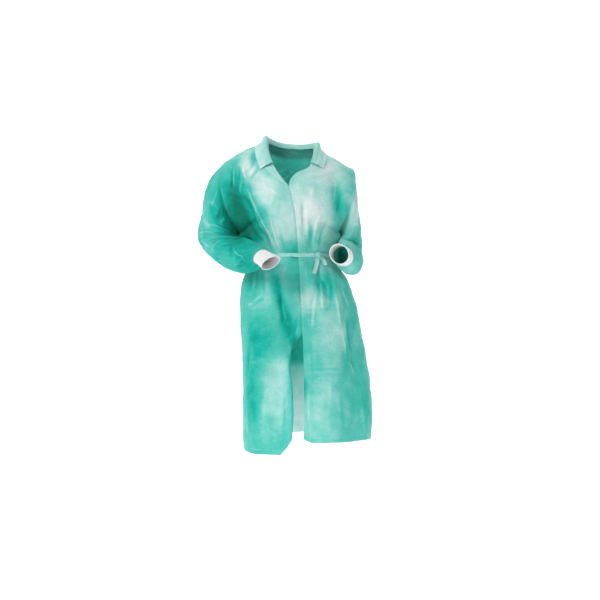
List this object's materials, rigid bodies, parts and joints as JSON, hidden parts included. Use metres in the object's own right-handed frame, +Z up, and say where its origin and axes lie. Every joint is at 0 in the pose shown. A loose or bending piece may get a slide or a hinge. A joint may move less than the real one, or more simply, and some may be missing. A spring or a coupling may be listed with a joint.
{
  "type": "surgical gown",
  "caption": "Front-opening surgical gown as worn: collar, long bent sleeves with knit cuffs, a tied waist and a knee-length skirt that opens in front.",
  "frame": {"origin": "base of the neck, midway between the shoulder seams, where the wearer's shoulders carry the gown", "axes": "+Z up; the front faces -Y; +X is the wearer's left"},
  "size_m": [0.5846, 0.4592, 1.0525],
  "materials": {
    "nonwoven": "thin spunbond cloth, faintly sheer, green",
    "nonwoven_pale": "the same cloth in more layers, paler green",
    "knit": "white rib knit"
  },
  "bodies": {
    "root": {"front_right": "nonwoven", "front_left": "nonwoven", "back": "nonwoven", "sleeve_right": "nonwoven", "sleeve_left": "nonwoven", "collar": "nonwoven_pale", "edge_band_right": "nonwoven_pale", "waist_tie": "nonwoven_pale", "tie_knot": "nonwoven_pale", "tie_end_shown": "nonwoven_pale", "tie_end_hidden": "nonwoven_pale", "cuff_right": "knit", "cuff_left": "knit"}
  },
  "joints": []
}
